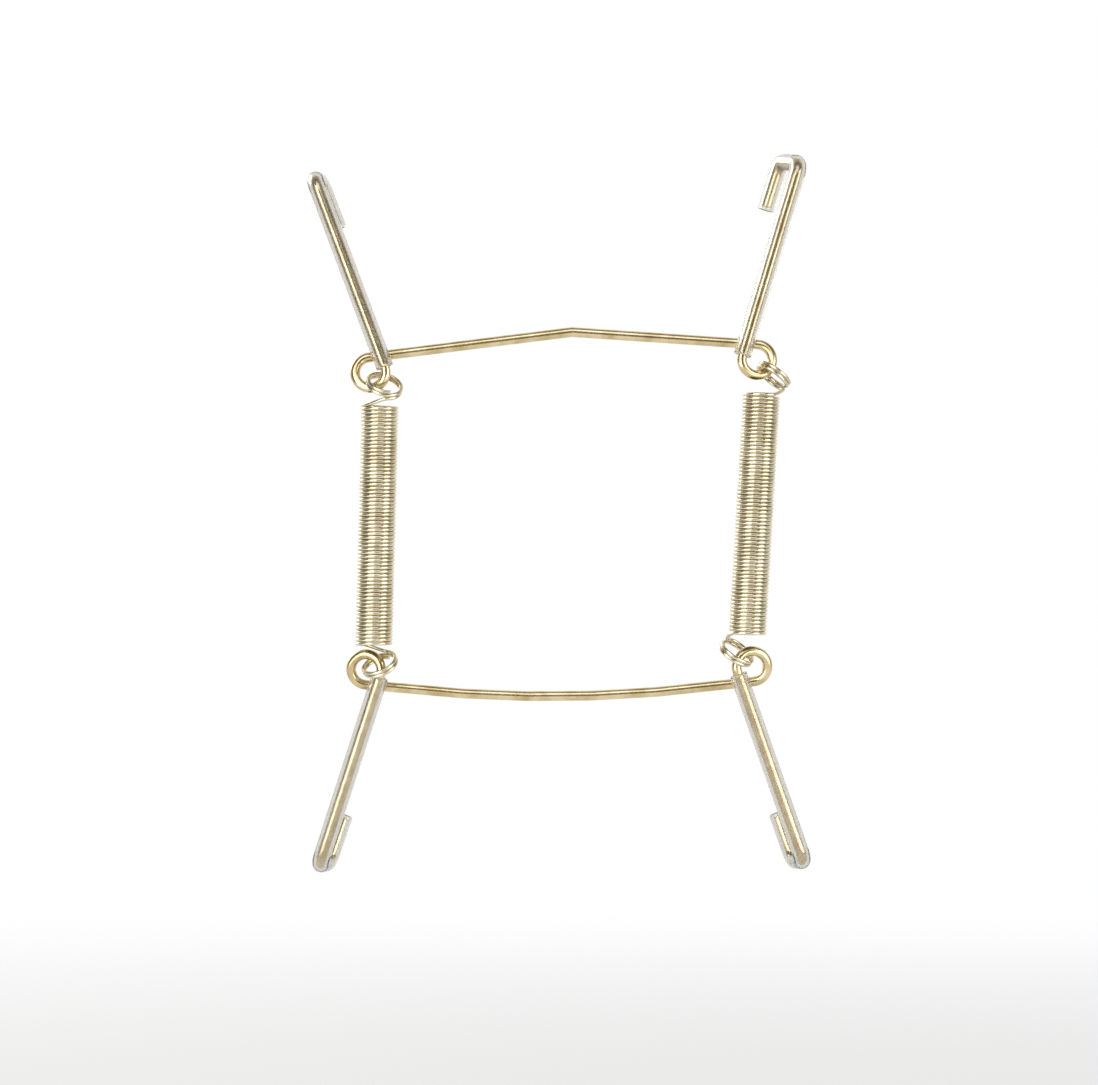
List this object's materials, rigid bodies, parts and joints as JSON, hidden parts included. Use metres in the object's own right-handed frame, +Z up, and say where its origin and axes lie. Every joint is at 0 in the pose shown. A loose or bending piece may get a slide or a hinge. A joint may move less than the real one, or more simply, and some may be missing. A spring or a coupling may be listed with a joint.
{
  "type": "wire plate hanger",
  "caption": "Spring-loaded wire hanger that grips a plate's rim with sleeved hooks and hangs it from a wall nail.",
  "frame": {"origin": "underside of the bend in the upper wire, where the nail bears", "axes": "+X to the right seen from the wall, +Y from the wall towards the plate, +Z up"},
  "size_m": [0.0767, 0.0209, 0.1101],
  "materials": {
    "wire": "bright brass-plated drawn steel wire",
    "spring": "bright brass-plated spring wire",
    "sleeve": "clear flexible vinyl tube"
  },
  "bodies": {
    "upper_yoke": {"upper_wire": "wire", "upper_left_sleeve": "sleeve", "upper_right_sleeve": "sleeve"},
    "left_side": {"left_spring": "spring"},
    "right_side": {"right_spring": "spring"},
    "lower_yoke": {"lower_wire": "wire", "lower_left_sleeve": "sleeve", "lower_right_sleeve": "sleeve"}
  },
  "joints": [
    {"name": "upper_swing", "type": "hinge", "parent": "upper_yoke", "child": "left_side", "pos_m": [0.00054, -0.00167, -0.00595], "axis": [0.9995, 0.0155, 0.029], "range_deg": [-35, 18]},
    {"name": "spring_stretch", "type": "slide", "parent": "left_side", "child": "right_side", "axis": [-0.0543, 0.0318, -0.998], "range_m": [0, 0.058], "stiffness_N_per_m": 270, "deforming": ["left_spring", "right_spring"]},
    {"name": "lower_swing", "type": "hinge", "parent": "right_side", "child": "lower_yoke", "pos_m": [-0.0018, -0.0003, -0.04899], "axis": [0.9995, -0.0227, 0.0217], "range_deg": [-8, 35]}
  ]
}
